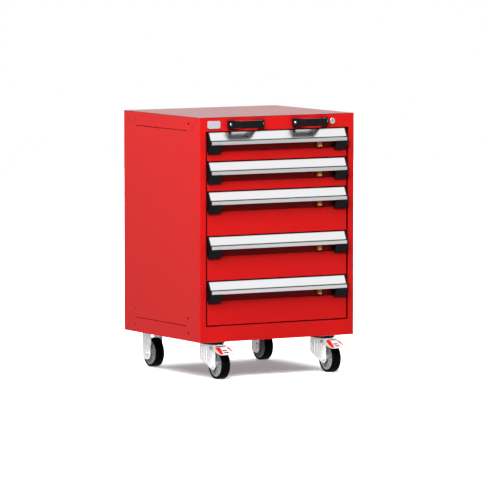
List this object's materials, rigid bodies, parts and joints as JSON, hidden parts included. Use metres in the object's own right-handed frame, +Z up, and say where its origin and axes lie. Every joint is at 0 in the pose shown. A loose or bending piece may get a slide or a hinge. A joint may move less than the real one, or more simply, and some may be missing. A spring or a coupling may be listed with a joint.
{
  "type": "mobile drawer cabinet",
  "caption": "Upright red steel cabinet of full-width drawers with aluminium pulls, push handles and a lock, on swivel and rigid casters.",
  "frame": {"origin": "on the floor under the centre of the overall footprint", "axes": "-Y the drawer side, +X the user's right when facing the drawers, +Z up"},
  "size_m": [0.6096, 0.5868, 0.893],
  "materials": {
    "red_paint": "gloss powder coat, bright red",
    "inner_steel": "satin light grey powder coat",
    "slide_steel": "bright zinc-plated steel",
    "black_plastic": "fine textured black moulding",
    "bright_steel": "bright nickel",
    "badge_aluminium": "satin blank plate",
    "pull_aluminium": "satin clear-anodised extrusion",
    "orange_plastic": "moulded orange tab",
    "zinc_steel": "bright zinc-plated pressed steel",
    "black_paint": "black e-coat",
    "grey_plastic": "grey moulded nylon",
    "tyre_rubber": "black rubber tread"
  },
  "bodies": {
    "root": {"side_panel_left": "red_paint", "side_panel_right": "red_paint", "front_frame": "red_paint", "top_panel": "red_paint", "back_panel": "red_paint", "bottom_pan": "red_paint", "slotted_posts": "inner_steel", "cabinet_slides": "slide_steel", "push_handles": "black_plastic", "handle_screws": "bright_steel", "badge_plate": "badge_aluminium", "lock_cylinder": "bright_steel", "caster_plates": "zinc_steel", "caster_bolts": "zinc_steel", "swivel_rings": "black_paint", "rear_forks": "zinc_steel"},
    "drawer_1": {"drawer_1_tray": "inner_steel", "drawer_1_front": "red_paint", "drawer_1_pull": "pull_aluminium", "drawer_1_end_caps": "black_plastic"},
    "carriage_1": {"drawer_1_carriages": "slide_steel"},
    "latch_1": {"drawer_1_latch": "orange_plastic"},
    "drawer_2": {"drawer_2_tray": "inner_steel", "drawer_2_front": "red_paint", "drawer_2_pull": "pull_aluminium", "drawer_2_end_caps": "black_plastic"},
    "carriage_2": {"drawer_2_carriages": "slide_steel"},
    "latch_2": {"drawer_2_latch": "orange_plastic"},
    "drawer_3": {"drawer_3_tray": "inner_steel", "drawer_3_front": "red_paint", "drawer_3_pull": "pull_aluminium", "drawer_3_end_caps": "black_plastic"},
    "carriage_3": {"drawer_3_carriages": "slide_steel"},
    "latch_3": {"drawer_3_latch": "orange_plastic"},
    "drawer_4": {"drawer_4_tray": "inner_steel", "drawer_4_front": "red_paint", "drawer_4_pull": "pull_aluminium", "drawer_4_end_caps": "black_plastic"},
    "carriage_4": {"drawer_4_carriages": "slide_steel"},
    "latch_4": {"drawer_4_latch": "orange_plastic"},
    "drawer_5": {"drawer_5_tray": "inner_steel", "drawer_5_front": "red_paint", "drawer_5_pull": "pull_aluminium", "drawer_5_end_caps": "black_plastic"},
    "carriage_5": {"drawer_5_carriages": "slide_steel"},
    "latch_5": {"drawer_5_latch": "orange_plastic"},
    "lock_plug": {"lock_plug": "bright_steel"},
    "lock_bar": {"lock_bar": "slide_steel"},
    "swivel_left": {"front_fork_left": "zinc_steel"},
    "pedal_left": {"brake_pedal_left": "zinc_steel"},
    "front_wheel_left": {"front_wheel_left_hub": "grey_plastic", "front_wheel_left_tyre": "tyre_rubber"},
    "rear_wheel_left": {"rear_wheel_left_hub": "grey_plastic", "rear_wheel_left_tyre": "tyre_rubber"},
    "swivel_right": {"front_fork_right": "zinc_steel"},
    "pedal_right": {"brake_pedal_right": "zinc_steel"},
    "front_wheel_right": {"front_wheel_right_hub": "grey_plastic", "front_wheel_right_tyre": "tyre_rubber"},
    "rear_wheel_right": {"rear_wheel_right_hub": "grey_plastic", "rear_wheel_right_tyre": "tyre_rubber"}
  },
  "joints": [
    {"name": "drawer_1_slide", "type": "slide", "parent": "root", "child": "drawer_1", "axis": [0, -1, 0], "range_m": [0, 0.45]},
    {"name": "carriage_1_slide", "type": "slide", "parent": "root", "child": "carriage_1", "axis": [0, -1, 0], "range_m": [0, 0.225]},
    {"name": "latch_1_press", "type": "slide", "parent": "drawer_1", "child": "latch_1", "axis": [1, 0, 0], "range_m": [0, 0.006], "stiffness_N_per_m": 400},
    {"name": "drawer_2_slide", "type": "slide", "parent": "root", "child": "drawer_2", "axis": [0, -1, 0], "range_m": [0, 0.45]},
    {"name": "carriage_2_slide", "type": "slide", "parent": "root", "child": "carriage_2", "axis": [0, -1, 0], "range_m": [0, 0.225]},
    {"name": "latch_2_press", "type": "slide", "parent": "drawer_2", "child": "latch_2", "axis": [1, 0, 0], "range_m": [0, 0.006], "stiffness_N_per_m": 400},
    {"name": "drawer_3_slide", "type": "slide", "parent": "root", "child": "drawer_3", "axis": [0, -1, 0], "range_m": [0, 0.45]},
    {"name": "carriage_3_slide", "type": "slide", "parent": "root", "child": "carriage_3", "axis": [0, -1, 0], "range_m": [0, 0.225]},
    {"name": "latch_3_press", "type": "slide", "parent": "drawer_3", "child": "latch_3", "axis": [1, 0, 0], "range_m": [0, 0.006], "stiffness_N_per_m": 400},
    {"name": "drawer_4_slide", "type": "slide", "parent": "root", "child": "drawer_4", "axis": [0, -1, 0], "range_m": [0, 0.45]},
    {"name": "carriage_4_slide", "type": "slide", "parent": "root", "child": "carriage_4", "axis": [0, -1, 0], "range_m": [0, 0.225]},
    {"name": "latch_4_press", "type": "slide", "parent": "drawer_4", "child": "latch_4", "axis": [1, 0, 0], "range_m": [0, 0.006], "stiffness_N_per_m": 400},
    {"name": "drawer_5_slide", "type": "slide", "parent": "root", "child": "drawer_5", "axis": [0, -1, 0], "range_m": [0, 0.45]},
    {"name": "carriage_5_slide", "type": "slide", "parent": "root", "child": "carriage_5", "axis": [0, -1, 0], "range_m": [0, 0.225]},
    {"name": "latch_5_press", "type": "slide", "parent": "drawer_5", "child": "latch_5", "axis": [1, 0, 0], "range_m": [0, 0.006], "stiffness_N_per_m": 400},
    {"name": "lock_turn", "type": "hinge", "parent": "root", "child": "lock_plug", "pos_m": [0.218, -0.24005, 0.8676], "axis": [0, 1, 0], "range_deg": [0, 90]},
    {"name": "lock_bar_lift", "type": "slide", "parent": "root", "child": "lock_bar", "axis": [0, 0, 1], "range_m": [0, 0.01]},
    {"name": "swivel_left_turn", "type": "hinge", "parent": "root", "child": "swivel_left", "pos_m": [-0.2196, -0.17935, 0.1278], "axis": [0, 0, 1], "continuous": true},
    {"name": "front_wheel_left_spin", "type": "hinge", "parent": "swivel_left", "child": "front_wheel_left", "pos_m": [-0.2196, -0.22235, 0.0508], "axis": [1, 0, 0], "continuous": true},
    {"name": "pedal_left_press", "type": "hinge", "parent": "swivel_left", "child": "pedal_left", "pos_m": [-0.2196, -0.21235, 0.1083], "axis": [1, 0, 0], "range_deg": [0, 10]},
    {"name": "rear_wheel_left_spin", "type": "hinge", "parent": "root", "child": "rear_wheel_left", "pos_m": [-0.2196, 0.23665, 0.0508], "axis": [1, 0, 0], "continuous": true},
    {"name": "swivel_right_turn", "type": "hinge", "parent": "root", "child": "swivel_right", "pos_m": [0.2196, -0.17935, 0.1278], "axis": [0, 0, 1], "continuous": true},
    {"name": "front_wheel_right_spin", "type": "hinge", "parent": "swivel_right", "child": "front_wheel_right", "pos_m": [0.2196, -0.22235, 0.0508], "axis": [1, 0, 0], "continuous": true},
    {"name": "pedal_right_press", "type": "hinge", "parent": "swivel_right", "child": "pedal_right", "pos_m": [0.2196, -0.21235, 0.1083], "axis": [1, 0, 0], "range_deg": [0, 10]},
    {"name": "rear_wheel_right_spin", "type": "hinge", "parent": "root", "child": "rear_wheel_right", "pos_m": [0.2196, 0.23665, 0.0508], "axis": [1, 0, 0], "continuous": true}
  ],
  "couplings": [
    {"joint": "carriage_1_slide", "follows": "drawer_1_slide", "ratio": 0.5},
    {"joint": "carriage_2_slide", "follows": "drawer_2_slide", "ratio": 0.5},
    {"joint": "carriage_3_slide", "follows": "drawer_3_slide", "ratio": 0.5},
    {"joint": "carriage_4_slide", "follows": "drawer_4_slide", "ratio": 0.5},
    {"joint": "carriage_5_slide", "follows": "drawer_5_slide", "ratio": 0.5},
    {"joint": "lock_turn", "follows": "lock_bar_lift", "rad_per_m": 157.08}
  ]
}
